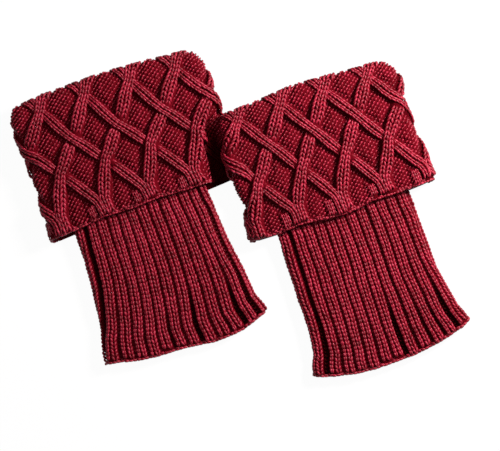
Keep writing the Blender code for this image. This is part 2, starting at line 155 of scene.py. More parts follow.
def ramp(value, low, high):
    share = np.clip((value - low) / (high - low), 0.0, 1.0)
    return share * share * (3 - 2 * share)


def unit(vectors):
    return vectors / np.maximum(np.linalg.norm(vectors, axis=-1, keepdims=True), 1e-9)


# the flattened cloth of one cuff

def sideOutline(edge, base, top, rounding, steps=32):
    # half an oval from the top of a section to its floor: x, z and the way into the cloth
    angle = np.pi * (0.5 - np.arange(steps + 1) / steps)
    across, up = np.cos(angle), np.sin(angle)
    half = (top - base) / 2
    return np.stack([edge - rounding * (1 - across), base + half * (1 + up), -across, -up], 1)


def tuckedOutline(edge, flap, base, top, steps=32):
    # the same where the upper layer turns down at edge and the lower ones run on to flap
    shelf = base + make["flapHeight"]
    corners = np.array([  # across and up: the turned edge, the shelf, the flap's round end
        (edge - 4.0, top), (edge - 0.4, top - 0.8), (edge + 0.6, top - 3.2), (edge - 1.2, shelf + 1.2),
        (edge + 2.0, shelf), (flap - 3.4, shelf), (flap - 0.5, shelf - 0.7),
        (flap, base + make["flapHeight"] / 2), (flap - 0.5, base + 0.7), (flap - 3.4, base)])
    for _ in range(2):
        early = 0.75 * corners[:-1] + 0.25 * corners[1:]
        late = 0.25 * corners[:-1] + 0.75 * corners[1:]
        cut = np.stack([early, late], 1).reshape(-1, 2)
        corners = np.vstack([corners[:1], cut, corners[-1:]])
    runs = np.concatenate([[0], np.cumsum(np.linalg.norm(np.diff(corners, axis=0), axis=1))])
    run = np.linspace(0, runs[-1], steps + 1)

    def at(places):
        return np.stack([np.interp(places, runs, corners[:, axis]) for axis in (0, 1)], 1)

    slope = unit(at(np.minimum(run + 0.6, runs[-1])) - at(np.maximum(run - 0.6, 0)))
    return np.column_stack([at(run), slope[:, 1], -slope[:, 0]])


class Section:
    # one outline across a cuff; at() reads it by the way round from its middle
    def __init__(self, left, right, base, top, rounding, middle, tuck=0.0, edge=0.0):
        self.base, self.tuck, self.edge = base, tuck, edge
        outline = sideOutline(right, base, top, rounding)
        if tuck > 0:
            outline += tuck * (tuckedOutline(edge, right, base, top) - outline)
            outline[:, 2:] = unit(outline[:, 2:])
        mirrored = sideOutline(-left, base, top, rounding) * (-1, 1, -1, 1)
        self.right = self.measured(outline, middle, base, top)
        self.left = self.measured(mirrored, middle, base, top)

    @staticmethod
    def measured(outline, middle, base, top):
        points = np.vstack([(middle, top, 0, -1), outline, (middle, base, 0, 1)])
        steps = np.linalg.norm(np.diff(points[:, :2], axis=0), axis=1)
        kept = np.concatenate([[True], steps > 1e-6])
        runs = np.concatenate([[0], np.cumsum(steps)])
        return np.column_stack([runs, points])[kept]

    def at(self, ways):
        both = [np.stack([np.interp(abs(ways), half[:, 0], half[:, axis]) for axis in (1, 2, 3, 4)])
                for half in (self.right, self.left)]
        return np.where(ways >= 0, both[0], both[1])


def settle(cuff, x, y, z):
    # puffs the middle of a cuff up, and lifts its left edge over what it lies on
    middle = np.maximum(0.0, 1 - ((x - cuff["middle"]) / make["puffReach"]) ** 2)
    ends = ramp(y, *make["puffTop"]) * ramp(y, *make["puffHem"])
    z = z * (1 + make["puff"] * middle * ends)
    z = z + column(cuff["lift"], y) * ramp(x, *make["liftAcross"])
    return np.stack([x, y, z], -1)


def bandSection(cuff, along):
    left, right = (column(cuff["band"], along, which) for which in (1, 2))
    tuck = column(cuff["tuck"], along)
    return Section(left + cuff["yarn"][0], right - cuff["yarn"][1] * (1 - 2 * tuck), 0.0,
                   make["bandHeight"], make["bandRound"], cuff["middle"],
                   tuck, column(cuff["tuck"], along, 2))


def bandPoints(cuff, row, ways, deep=0.0, level=None):
    # rows above foldRow go over the fold: one row is a quarter turn
    bend = max(0.0, make["foldRow"] - row) * math.pi / 2
    row = max(row, make["foldRow"])
    along = column(cuff["rows"], row)
    x, z, inX, inZ = bandSection(cuff, along).at(ways)
    hemShare = max(0.0, (row - make["hemWaveFrom"]) / (make["hemRow"] - make["hemWaveFrom"]))
    foldShare = max(0.0, (make["foldWaveFrom"] - row) / (make["foldWaveFrom"] - make["foldRow"]))
    y = along + (column(cuff["hem"], ways) - cuff["rows"][-1][1]) * hemShare ** 2
    y = y + (column(cuff["fold"], ways) - cuff["rows"][0][1]) * foldShare ** 2
    if bend > 0:
        radius = foldRadius - deep
        y = y + radius * math.sin(bend) - cuff["yarn"][4] * min(1.0, bend)
        deep = foldRadius - radius * math.cos(bend)
    if level is not None:
        y = y * 0 + level
    return settle(cuff, x + inX * deep, y, z + inZ * deep)


def tubeSection(cuff, along):
    # the tube widens under the band, from the hem of the band to the seam
    hidden = ramp(along, make["widenFrom"], make["seamAlong"] - make["seamGap"])
    fold = cuff["rows"][0][1]
    left = column(cuff["rib"], along) + cuff["yarn"][2]
    right = column(cuff["rib"], along, 2) - cuff["yarn"][3]
    left += hidden * (column(cuff["band"], fold) + tubeInset - left)
    right += hidden * (column(cuff["band"], fold, 2) - tubeInset - right)
    slack = make["layerGap"] / 2 + make["hiddenSlack"] * (1 - hidden)
    base = (tubeInset + slack / 2) * ramp(along, *make["tubeLift"])
    underBand = make["bandHeight"] - tubeInset - slack
    top = make["tubeHeight"] + (underBand - make["tubeHeight"]) * ramp(along, *make["tubeRise"])
    rounding = make["tubeRound"] + hidden * (make["bandRound"] - tubeInset - make["tubeRound"])
    middle = (left + right) / 2
    middle += hidden * (cuff["middle"] - middle)
    return Section(left, right, base, top, rounding, middle)


def tubeAlong(cuff, share):
    seam = make["seamAlong"] - make["seamGap"]
    return seam + share * (column(cuff["ribHem"], 0.0) - seam)


def tubePoints(cuff, share, ways, deep=0.0):
    along = tubeAlong(cuff, share)
    x, z, inX, inZ = tubeSection(cuff, along).at(ways)
    wave = max(0.0, (share - make["hemWaveShare"]) / (1 - make["hemWaveShare"]))
    y = along + (column(cuff["ribHem"], ways) - column(cuff["ribHem"], 0.0)) * wave
    return settle(cuff, x + inX * deep, y, z + inZ * deep)


class ClothMap:
    # the flattened cloth as a grid, read by millimetres down from its top row and way round
    def __init__(self, points, rows, ways):
        self.points, self.rows, self.ways = points, rows, ways
        middle = points[:, len(ways) // 2]
        self.down = np.concatenate([[0], np.cumsum(np.linalg.norm(np.diff(middle, axis=0), axis=1))])
        alongSlope = np.gradient(points, self.down, axis=0)
        acrossSlope = np.gradient(points, ways, axis=1)
        self.normals = unit(np.cross(alongSlope, acrossSlope))

    def downAt(self, row):
        return np.interp(row, self.rows, self.down)

    def rowAt(self, down):
        return np.interp(down, self.down, self.rows)

    def at(self, down, way):
        i = np.clip(np.interp(down, self.down, np.arange(len(self.down))), 0, len(self.down) - 1.001)
        j = np.clip((way - self.ways[0]) / (self.ways[1] - self.ways[0]), 0, len(self.ways) - 1.001)
        top, left = i.astype(int), j.astype(int)
        u, v = (i - top)[..., None], (j - left)[..., None]

        def mixed(grid):
            upper = grid[top, left] * (1 - v) + grid[top, left + 1] * v
            lower = grid[top + 1, left] * (1 - v) + grid[top + 1, left + 1] * v
            return upper * (1 - u) + lower * u

        return mixed(self.points), unit(mixed(self.normals))


mapGrid = dict(  # rows or shares, and ways: from, to and step
    band=((-3.4, 20.01, 0.1), (-95, 95.01, 0.5)),
    tube=((0.30, 1.001, 0.005), (-75, 75.01, 0.5)),
)


def clothMap(cuff, pointsAt, grid):
    rows, ways = (np.arange(*steps) for steps in grid)
    return ClothMap(np.stack([pointsAt(cuff, row, ways) for row in rows]), rows, ways)


def allRound(section, ways, steps):
    # the ways of a whole ring: those given, then wider steps down both sides and underneath
    onward, back = (np.arange(1, steps) / steps) ** 1.2, (np.arange(steps, 0, -1) / steps) ** 1.2
    right = ways[-1] + (section.right[-1, 0] - ways[-1]) * onward
    left = ways[0] - (section.left[-1, 0] + ways[0]) * back
    return np.concatenate([ways, right, left])


# meshes

def inPlace(cuff, points):
    # from a cuff's own frame to the pair's, with nothing under the floor
    turn = math.radians(cuff["turn"])
    x, y, z = points.T
    return np.stack([x * math.cos(turn) - y * math.sin(turn) + cuff["place"][0],
                     x * math.sin(turn) + y * math.cos(turn) + cuff["place"][1],
                     np.maximum(z, 0.0)], 1)


def addObject(name, data):
    made = bpy.data.objects.new(name, data)
    bpy.context.scene.collection.objects.link(made)
    return made


def addMesh(name, cuff, points, faces, material, tone=None, paintedShade=0.0, flat=None):
    # tone varies each point's colour at random, the argument after it is painted shade that darkens the
    # point, flat is where the point lies on the unrolled cloth
    name = cuff["name"] + name
    mesh = bpy.data.meshes.new(name)
    mesh.from_pydata(inPlace(cuff, points) * mm, [], faces)
    mesh.shade_smooth()
    tone = np.full(len(points), 0.5) if tone is None else tone
    # the recess beside a tucked edge gets painted shade as well
    paintedShade = np.maximum(paintedShade, tuckPaintedShade(cuff, points))
    for label, values in (("tone", tone), ("paintedShade", paintedShade)):
        mesh.attributes.new(label, "FLOAT", "POINT").data.foreach_set("value", values.astype(np.float32))
    if flat is not None:
        layer = mesh.uv_layers.new(name="unrolled")
        corner = np.empty(len(mesh.loops), np.int32)
        mesh.loops.foreach_get("vertex_index", corner)
        layer.data.foreach_set("uv", (flat[corner] * mm).astype(np.float32).ravel())
    mesh.materials.append(material)
    piece = addObject(name, mesh)
    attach(piece, "root")
    print("  ", name, len(faces), "faces")
    return piece


tuckShade = dict(  # how painted shade darkens the fold beside the tucked upper layer
    beside=(0.2, 2),  # mm past the turned edge
    below=(12, 9.5),
    fromHem=(-14, -10.5),
    upTo=(24, 15),
    flapEnd=(76, 69),
)


def tuckPaintedShade(cuff, points):
    # painted shade in the recess beside a tucked edge
    x, y, z = points.T
    edge, tuck = column(cuff["tuck"], y, 2), column(cuff["tuck"], y)
    beside = ramp(x - edge, *tuckShade["beside"]) * ramp(z, *tuckShade["below"])
    inside = np.maximum(ramp(y, *tuckShade["upTo"]), ramp(x, *tuckShade["flapEnd"]))
    return tuck * beside * ramp(y, *tuckShade["fromHem"]) * inside


def addCloth(name, cuff, material, rings, shades, unrolled):
    # quads round closed rings with the same number of points, the last ring back to the first
    count, around = len(rings), len(rings[0])
    ring, here = np.meshgrid(np.arange(count), np.arange(around), indexing="ij")
    below, after = (ring + 1) % count, (here + 1) % around
    faces = np.stack([ring * around + here, below * around + here, below * around + after,
                      ring * around + after], -1).reshape(-1, 4)
    return addMesh(name, cuff, np.concatenate(rings), faces, material,
                   paintedShade=np.concatenate(shades), flat=np.concatenate(unrolled))


loop = dict(  # one bead of yarn
    sides=6,
    swell=np.array([0.62, 0.95, 1, 0.95, 0.62]),  # its thickness at each ring
    tip=0.55,
)
loopShare = np.linspace(0, 1, len(loop["swell"]))
loopMiddle = len(loop["swell"]) // 2


def loopMesh(centres, ups, yarn):
    # one closed bead of yarn along each row of centres (n, rings, 3)
    count, rings = centres.shape[:2]
    sides = loop["sides"]
    heading = unit(np.gradient(centres, axis=1))
    side = unit(np.cross(heading, ups))
    top = np.cross(side, heading)
    angle = 2 * np.pi * np.arange(sides) / sides
    around = (np.cos(angle)[None, None, :, None] * side[:, :, None]
              + np.sin(angle)[None, None, :, None] * top[:, :, None])
    size = (loop["swell"] * np.broadcast_to(yarn, (count, 1)))[..., None, None]
    skin = centres[:, :, None] + around * size
    tips = np.stack([centres[:, 0] - heading[:, 0] * size[:, 0, 0] * loop["tip"],
                     centres[:, -1] + heading[:, -1] * size[:, -1, 0] * loop["tip"]], 1)
    points = np.concatenate([skin.reshape(count, -1, 3), tips], 1)
    last, low, high = (rings - 1) * sides, rings * sides, rings * sides + 1
    after = [a + 1 if (a + 1) % sides else a + 1 - sides for a in range(last)]
    faces = []
    for a, b in enumerate(after):
        faces += [(a, b, b + sides), (a, b + sides, a + sides)]
    for a, b in enumerate(after[:sides]):
        faces += [(low, b, a), (high, last + a, last + b)]
    each = points.shape[1]
    faces = (np.array(faces)[None] + np.arange(count)[:, None, None] * each).reshape(-1, 3)
    return points.reshape(-1, 3), faces, each


def joinLoops(name, cuff, groups, material, dice):
    # groups of (centres, ups, yarn radius, painted shade) as one mesh
    parts, start = [], 0
    for centres, ups, yarn, shade in groups:
        if not len(centres):
            continue
        points, corners, each = loopMesh(centres, ups, yarn)
        tones = np.repeat(dice.random(len(centres)), each)
        parts.append((points, corners + start, tones, np.repeat(shade, each)))
        start += len(points)
    points, faces, tones, paintedShades = (np.concatenate(part) for part in zip(*parts))
    return addMesh(name, cuff, points, faces, material, tones, paintedShades)


# stitches

stitch = dict(
    wales=(-1.5, 1.5),
    reaches=(1, 1),  # how wide each wale opens
    length=2.9,  # along a wale, from one V to the next
    legLength=3.5,
    opensUp=True,  # the V's open towards the fold
    legRadius=0.82,
    inner=0.20,  # how far from the wale's middle a leg starts and ends
    outer=1.15,
    curve=0.8,  # below 1 the legs part early, above 1 late
    arch=0.55,
    sunk=0.55,  # the share of the arch that lies below the cloth's height
    half=3.1,  # half the width of the ridge that it lies on
    eased=0.5,  # how much flatter it lies at the sides
    easeBelow=(5, 2),
    tail=0.4,  # of a stitch, left free at a wale's end
    above=0.9,  # only stitches this high over the floor are made
    within=1000,  # and this near the front's middle, measured round the cuff
    under=1000,  # and below this line along it
)
handwork = dict(along=0.12, aside=0.07, up=0.06, yarn=0.08)  # how uneven each stitch is


def besideFloor(height, sizes):
    # what is raised lies flatter low on the sides, and sinks back into the cloth at the floor
    return (1 - sizes["eased"] * ramp(height, *sizes["easeBelow"])) * ramp(height, *make["floorFade"])


def bow(share, sunk):
    return 4 * share * (1 - share) - sunk


def crown(aside, half, rise):
    return rise * np.sqrt(np.maximum(0, 1 - (aside / half) ** 2))


def runAlong(down, way):
    return np.concatenate([[0], np.cumsum(np.hypot(np.diff(down), np.diff(way)))])


def waleLoops(cloth, down, way, height, dice, sizes=stitch, phase=0.0, halves=None, shade=0.0):
    # V stitches in wales that run along a path (down, way); height() gives how high they lie.
    # halves are the ridge's own half widths to the left and right, all along the path
    # shade is painted shade on the stitches, all along the path
    shade = np.broadcast_to(shade, down.shape)
    run = runAlong(down, way)
    stations = np.arange(phase, run[-1] - sizes["length"] * sizes["tail"], sizes["length"])
    slopeDown, slopeWay = np.gradient(down, run), np.gradient(way, run)
    size = np.hypot(slopeDown, slopeWay)
    spread = (1 - loopShare if sizes["opensUp"] else loopShare) ** sizes["curve"]
    legs = []

    def uneven(amount, count=len(stations)):
        return dice.normal(0, amount, (count, 1))

    for offset, reach in zip(sizes["wales"], sizes["reaches"]):
        for side in (-1, 1):
            place = stations[:, None] + (loopShare - 0.5) * sizes["legLength"] + uneven(handwork["along"])
            aside = offset + side * reach * (sizes["inner"] + (sizes["outer"] - sizes["inner"]) * spread)
            aside = aside[None] + uneven(handwork["aside"])
            rise = height(place, aside)
            if halves is not None:
                wide = np.where(aside < 0, *(np.interp(place, run, half) for half in halves))
                aside = aside * wide / sizes["half"]
            onDown, onWay, stepDown, stepWay = (
                np.interp(place, run, path) for path in (down, way, slopeDown / size, slopeWay / size))
            atDown, atWay = onDown - stepWay * aside, onWay + stepDown * aside
            points, normals = cloth.at(atDown, atWay)
            middle = points[:, loopMiddle]
            chosen = (middle[:, 2] > sizes["above"]) & (middle[:, 1] < sizes["under"])
            chosen &= abs(atWay[:, loopMiddle]) < sizes["within"]
            rise = rise * besideFloor(points[..., 2], sizes)
            rise = rise + sizes["arch"] * bow(loopShare, sizes["sunk"]) + uneven(handwork["up"])
            points = points + normals * rise[..., None]
            radius = sizes["legRadius"] * (1 + uneven(handwork["yarn"], chosen.sum()))
            legs.append((points[chosen], normals[chosen], radius,
                         np.interp(place[chosen, loopMiddle], run, shade)))
    return [np.concatenate(part) for part in zip(*legs)]


# the band: lattice of cables on reverse stocking stitch

lattice = dict(
    ridge=2.9,  # the cloth under a cable
    shellMargin=0.2,  # how much wider than the cable that ridge is
    yarnMargin=0.9,  # and the curve that the yarn lies on
    lift=0.7,  # the cable on top, where two cross
    dip=1.6,  # the cable below
    crossing=(1.9, 0.5),  # rows from a crossing where that starts, and is full
    crossings=3,  # the cables no longer cross from this one on
    waist=0.86,  # a cable's width at its crossings
    thread=(1.5, 0.3),  # the groove along a cable
    sway=0.35,  # how far a cable wanders
    swayRate=0.9,
    swayRows=(-1, 1),
    pillow=1.5,  # the middle of a diamond
    pillowReach=6.5,
    sink=0.5,  # the ground beside a cable
    loopLift=0.35,  # yarn over the cloth
    cableRows=(-3.2, 19.85, 0.1),
    numbers=range(-5, 6),
    farthest=92,  # from the front's middle, round the cuff
    foldLow=0.22,  # how high the cables lie over the fold
    foldRows=(0, 2.5),
    topRows=(-3.3, -2.6),
    endRows=(18.6, 19.6),
    endDrop=0.5,
    straight=(16.8, 18.2),  # between these rows the cables turn straight down to the hem
    straightBend=0.5,
    shadeReach=(3.2, 0.2),
    shades=(0.55, 0.12),  # painted shadow: the ground is darkest on a cable's lower left, away from the key light
    tuckDrop=0.7,  # how much flatter the ridges lie at a tucked edge
    tuckReach=3,
)
leaningCable = dict(stitch, opensUp=False, wales=(-2.15, 2.15), length=3.1, legLength=3.9, legRadius=0.92,
                    inner=0.35, outer=1.60, half=4.5, groove=0, swell=0.6, breath=0.28,
                    easeBelow=(10, 4), above=1.2, within=93, over=0)  # rises to the right
fallingCable = dict(leaningCable, wales=(-1.95, 1.95), legLength=4.2, legRadius=0.80, outer=1.05, arch=0.50,
                    half=3.7, groove=0.8, swell=0.25, breath=0.16, over=1)
slants = ((1, fallingCable), (-1, leaningCable))
hemRib = dict(  # the short ribs at the hem, between the cables
    stitch, opensUp=False, wales=(-1.35, 1.35), length=2.7, legLength=3.3, legRadius=0.80, outer=1.05,
    above=1.2,
    column=2.7,  # of each diamond
    rows=(17.5, 19.75, 0.1),
    numbers=range(-4, 5),
    farthest=88,
    phase=(0.6, 1.8),
    reach=2.5,
    ridge=1.5,
    shellMargin=0.4,
    yarnMargin=1,
    loopLift=0.35,
    ridgeRows=(16.8, 18),
    groove=3.9,  # from a rib's middle to the grooves beside it, sunk and with painted shade
    grooveDepth=1.2,
    grooveWidth=(1.6, 0.3),
    # painted shade in the grooves: how dark, how wide and from which rows
    grooveShade=0.75,
    shadeWidth=(1.5, 0.4),
    grooveRows=(16.4, 17.4),
)


def wrapped(columns):
    half = make["columns"] / 2
    return (columns + half) % make["columns"] - half


def columnWidth(cuff):
    return cuff["pitch"] / make["columns"]


def columnWay(cuff, row, columns):
    # the way round of a place so many columns from the lattice's middle line of crossings
    middle = cuff["cross"] - cuff["middle"] + column(cuff["rows"], row, 2)
    return middle + columns * columnWidth(cuff)


def latticeColumns(cuff, row, ways):
    return (ways - columnWay(cuff, row, 0)) / columnWidth(cuff)


def rowLength(cuff, row):
    rows = np.array(cuff["rows"])
    lengths = -np.diff(rows[:, 1]) / np.diff(rows[:, 0])
    centres = (rows[1:, 0] + rows[:-1, 0]) / 2
    return np.interp(row, centres, lengths)


def leanRow(row):
    # a cable goes one column aside for each row, and then straight on
    start, bend = lattice["straight"][0], lattice["straightBend"]
    return np.minimum(row, start) + bend * (1 - np.exp(-np.maximum(0.0, row - start) / bend))


def squareColumn(cuff, row):
    # a column's width measured square to the cables
    long = rowLength(cuff, row)
    square = columnWidth(cuff) * long / np.hypot(columnWidth(cuff), long)
    return square + (columnWidth(cuff) - square) * ramp(row, *lattice["straight"])


def nearCables(cuff, row, ways):
    # square distance in mm to the nearest cable of each slant, minus on its left
    columns = latticeColumns(cuff, row, ways)
    return [(wrapped(columns - slant * leanRow(row)) * squareColumn(cuff, row), sizes)
            for slant, sizes in slants]


def besideCables(cuff, row, ways):
    # how far outside the nearest cable's edge
    return np.minimum(*(abs(aside) - sizes["half"] for aside, sizes in nearCables(cuff, row, ways)))


def hemRibGap(cuff, row, ways):
    # how far from the middle of the nearest short rib
    return abs(wrapped(latticeColumns(cuff, row, ways) - hemRib["column"])) * columnWidth(cuff)


def groundRise(beside):
    return (lattice["pillow"] + lattice["sink"]) * ramp(beside, 0.0, lattice["pillowReach"]) - lattice["sink"]


def cableShade(cuff, row, ways):
    # how dark the painted shade lies on the ground beside the cables and the short ribs
    shade = 0.0
    for aside, sizes in nearCables(cuff, row, ways):
        reach = ramp(abs(aside) - sizes["half"], *lattice["shadeReach"])
        shade = np.maximum(shade, reach * np.where(aside < 0, *lattice["shades"]))
    groove = ramp(abs(hemRibGap(cuff, row, ways) - hemRib["groove"]), *hemRib["shadeWidth"])
    return np.maximum(shade, hemRib["grooveShade"] * groove * ramp(row, *hemRib["grooveRows"]))


def fullness(row):
    # 0 where the cables cross, 1 halfway between
    return np.sin(np.pi * row / make["halfRows"]) ** 2


def overFold(row):
    return lattice["foldLow"] + (1 - lattice["foldLow"]) * ramp(row, *lattice["foldRows"])


def latticeRise(cuff, row, ways):
    ridge = np.maximum(*(crown(aside, sizes["half"] + lattice["shellMargin"], lattice["ridge"])
                         for aside, sizes in nearCables(cuff, row, ways)))
    ridge = np.maximum(ridge * overFold(row), groundRise(besideCables(cuff, row, ways)))
    gap = hemRibGap(cuff, row, ways)
    groove = ramp(abs(gap - hemRib["groove"]), *hemRib["grooveWidth"]) * ramp(row, *hemRib["grooveRows"])
    ridge = ridge - hemRib["grooveDepth"] * groove
    ridge = ridge * (1 - lattice["endDrop"] * ramp(row, *lattice["endRows"]))
    short = crown(gap, hemRib["reach"] + hemRib["shellMargin"], hemRib["ridge"])
    return np.maximum(ridge, short * ramp(row, *hemRib["ridgeRows"]))


bandShell = dict(
    ways=(-72, 92.01, 1.15),
    sideSteps=6,
    hemRound=0.9,  # the hem's corner is set in by this
    rows=(19.8, make["foldRow"], -0.3),
    foldRows=(make["foldRow"], -3.3, 8),  # to beyond the fold, where the ridges have died out
    overTop=-3.5,
    insideRows=(-3.5, -2.5, -1.5, 3, 9, 13, 17, make["hemRow"]),
    rowLength=4.2,  # mm to a row on the unrolled cloth
)


def bandCloth(cuff, material):
    rings, shades, unrolled = [], [], []

    def ring(row, deep=None, level=None):
        section = bandSection(cuff, column(cuff["rows"], max(row, make["foldRow"])))
        ways = allRound(section, np.arange(*bandShell["ways"]), bandShell["sideSteps"])
        # painted shade beside the cables, on the rings of the outer face
        shades.append(cableShade(cuff, row, ways) if deep is None else 0 * ways)
        if deep is None:
            flat = bandPoints(cuff, row, ways)
            x, z = flat[:, 0], flat[:, 2]
            deep = -latticeRise(cuff, row, ways) * ramp(row, *lattice["topRows"])
            deep *= besideFloor(z, leaningCable)
            atEdge = ramp(x, section.edge - lattice["tuckReach"], section.edge)
            deep *= 1 - lattice["tuckDrop"] * section.tuck * atEdge
        unrolled.append(np.column_stack([ways, row * bandShell["rowLength"] + 0 * ways]))
        return bandPoints(cuff, row, ways, deep, level)

    rings.append(ring(make["hemRow"], bandShell["hemRound"]))
    rings += [ring(row) for row in np.arange(*bandShell["rows"])]
    rings += [ring(row) for row in np.linspace(*bandShell["foldRows"])]
    rings.append(ring(bandShell["overTop"], 0.0))
    for deep in (2 * foldRadius, 2 * foldRadius - make["bandWall"]):
        rings.append(ring(make["foldRow"], deep, make["seamAlong"]))
    rings += [ring(row, make["bandWall"]) for row in bandShell["insideRows"]]
    return addCloth("BandCloth", cuff, material, rings, shades, unrolled)


def cableLoops(cuff, cloth, material, dice):
    rows = np.arange(*lattice["cableRows"])
    down = cloth.downAt(rows)
    groups = []
    for slant, sizes in slants:
        half = sizes["half"] * (lattice["waist"] + sizes["breath"] * fullness(rows))
        for number in lattice["numbers"]:
            way = columnWay(cuff, rows, slant * leanRow(rows) + number * make["columns"])
            sway = lattice["sway"] * np.sin(rows * lattice["swayRate"] + dice.uniform(0, 6))
            way = way + sway * ramp(rows, *lattice["swayRows"])
            if way.max() < -lattice["farthest"] or way.min() > lattice["farthest"]:
                continue

            def height(place, aside, run=runAlong(down, way), sizes=sizes):
                row = np.interp(place, run, rows)
                crossing = np.round(row / make["halfRows"])
                near = ramp(abs(row - crossing * make["halfRows"]), *lattice["crossing"])
                near = near * (crossing < lattice["crossings"])
                rise = crown(aside, sizes["half"] + lattice["yarnMargin"], lattice["ridge"])
                rise = rise + near * np.where(crossing % 2 == sizes["over"], lattice["lift"], -lattice["dip"])
                rise = rise - sizes["groove"] * ramp(abs(aside), *lattice["thread"])
                rise = rise + sizes["swell"] * fullness(row)
                return rise * overFold(row) + lattice["loopLift"]

            groups.append(waleLoops(cloth, down, way, height, dice, sizes, phase=dice.uniform(0, 2.5),
                                    halves=(half, half)))
    return joinLoops("BandCables", cuff, groups, material, dice)


def hemRibLoops(cuff, cloth, dice):
    rows = np.arange(*hemRib["rows"])
    groups = []
    for number in hemRib["numbers"]:
        way = columnWay(cuff, rows, hemRib["column"] + number * make["columns"])
        if abs(way).max() > hemRib["farthest"]:
            continue

        def height(place, aside):
            return crown(aside, hemRib["reach"] + hemRib["yarnMargin"], hemRib["ridge"]) + hemRib["loopLift"]

        groups.append(waleLoops(cloth, cloth.downAt(rows), way, height, dice, hemRib,
                                phase=dice.uniform(*hemRib["phase"])))
    return groups


purl = dict(  # the bumps of reverse stocking stitch between the cables
    across=3.8,
    down=1.58,
    length=2.35,
    radius=0.64,
    tilt=0.62,
    firstDown=0.8,
    lastDown=0.3,
    farthest=92,
    close=-0.3,  # how near the cables they come, and how much nearer at the hem
    closer=-0.9,
    closerRows=(17, 18.5),
    above=1,
    eased=0.4,
    easeBelow=leaningCable["easeBelow"],
    bend=0.35,
    bendSunk=0.5,
    lift=0.15,
    arch=0.6,
    sunk=0.6,
    uneven=dict(down=0.12, way=0.16, tilt=0.08, up=0.07, yarn=0.08),
)


def purlLoops(cuff, cloth, material, dice):
    def uneven(what, *count):
        return dice.normal(0, purl["uneven"][what], count)

    downs = np.arange(purl["firstDown"], cloth.down[-1] - purl["lastDown"], purl["down"])
    ways = np.arange(-purl["farthest"], purl["farthest"], purl["across"])
    down, way = np.meshgrid(downs, ways, indexing="ij")
    way = way + (np.arange(len(downs)) % 2)[:, None] * purl["across"] / 2
    down = down.ravel() + uneven("down", down.size)
    way = way.ravel() + uneven("way", way.size)
    row = cloth.rowAt(down)
    near = besideCables(cuff, row, way)
    wanted = near > purl["close"] + purl["closer"] * ramp(row, *purl["closerRows"])
    wanted &= cloth.at(down, way)[0][:, 2] > purl["above"]
    wanted &= (row < hemRib["rows"][0]) | (hemRibGap(cuff, row, way) > hemRib["reach"])
    # painted shade on the purl bumps beside the cables
    shade = cableShade(cuff, row[wanted], way[wanted])
    down, way, near = down[wanted, None], way[wanted, None], near[wanted, None]
    tilt = purl["tilt"] + uneven("tilt", len(down), 1)
    reach = (loopShare - 0.5) * purl["length"]
    atDown = down - np.sin(tilt) * reach - purl["bend"] * bow(loopShare, purl["bendSunk"])
    points, normals = cloth.at(atDown, way + np.cos(tilt) * reach)
    rise = groundRise(near) * besideFloor(points[..., 2], purl)
    rise = rise + purl["lift"] + purl["arch"] * bow(loopShare, purl["sunk"])
    rise = rise + uneven("up", len(down), 1)
    yarn = purl["radius"] * (1 + uneven("yarn", len(down), 1))
    groups = [(points + normals * rise[..., None], normals, yarn, shade)] + hemRibLoops(cuff, cloth, dice)
    return joinLoops("BandPurls", cuff, groups, material, dice)


bandEdge = dict(
    stitch, wales=(0,), length=2.4, legLength=2.6, legRadius=0.85, outer=1.2, above=1,
    ways=(-88, 88.01, 0.5),
    inset=0.5,
    loopLift=0.3,
    every=3,  # columns from one ripple to the next
    shift=0.2,
    unlike=0.6,  # how much the ripples differ, and how fast that changes
    unlikeRate=1.3,
    rippleDown=0.6,
    rippleUp=0.4,
)


def bandEdgeLoops(cuff, cloth, material, dice):
    ways = np.arange(*bandEdge["ways"])
    columns = latticeColumns(cuff, make["hemRow"], ways)
    ripple = np.cos(2 * np.pi * (columns - bandEdge["shift"]) / bandEdge["every"])
    ripple += bandEdge["unlike"] * np.sin(columns * bandEdge["unlikeRate"] + dice.uniform(0, 6))
    down = cloth.down[-1] - bandEdge["inset"] + bandEdge["rippleDown"] * ripple

    def height(place, aside):
        return bandEdge["rippleUp"] * np.interp(place, ways - ways[0], ripple) + bandEdge["loopLift"]

    return joinLoops("BandEdge", cuff, [waleLoops(cloth, down, ways, height, dice, bandEdge)], material, dice)


# the ribbed tube

ribbing = dict(
    ridge=1.8,
    shellHalf=1.12,  # a ridge's half width, over that of its rib
    yarnMargin=0.8,
    loopLift=0.3,
    valley=-1.6,  # the widest valleys are this much deeper
    valleyGap=(1.6, 3.4),  # from hardly to fully open, in mm
    valleyEdge=(0.95, 1.15),
    valleyFade=(3.2, 5.6),  # heights where they start
    floorFade=(0.6, 2.6),
    bandFade=(20, 6),  # where the ribs start under the band
    outside=3.6,  # from the outermost ribs' middles to their far sides
    shiftFade=(-40, -100),  # from the upper tables to the hem's
    valleyShift=(-60, -104),
    sways=((0.30, 0.09, 1.7), (0.18, 0.27, 2.9)),  # how far ribs wander, how fast, how unlike
    shares=(0.30, 0.9991, 0.005),
)
ribStitch = dict(stitch, wales=(-2.1, 1.2), reaches=(0.5, 1.05), legLength=3.3, legRadius=0.88,
                 inner=0.25, under=14)  # the left wale is seen side on
# the valley stitches carry painted shade: the least, plus more as the valley widens over darkGap
valleyStitch = dict(stitch, wales=(0,), legLength=1.8, legRadius=0.55, inner=0.1, outer=1, arch=0.5,
                    under=10, lift=-0.1, shade=(0.15, 0.8), darkGap=(1.6, 2.9))


def ribWays(cuff, share):
    # the middle of each rib, as a way round, at a share of the tube
    along = tubeAlong(cuff, share)
    section = tubeSection(cuff, along)
    pitch = make["ribPitch"] * (section.right[-1, 0] + section.left[-1, 0]) / 2 / make["ribHalfRound"]
    upper, hem = (np.pad(cuff[key], 1, mode="edge") for key in ("upperShift", "hemShift"))
    numbers = np.arange(make["ribs"] + 2) - make["ribs"] // 2 - 1
    uneven = sum(far * np.sin(along * rate + numbers * unlike) for far, rate, unlike in ribbing["sways"])
    return (numbers + upper + ramp(along, *ribbing["shiftFade"]) * (hem - upper)) * pitch + uneven


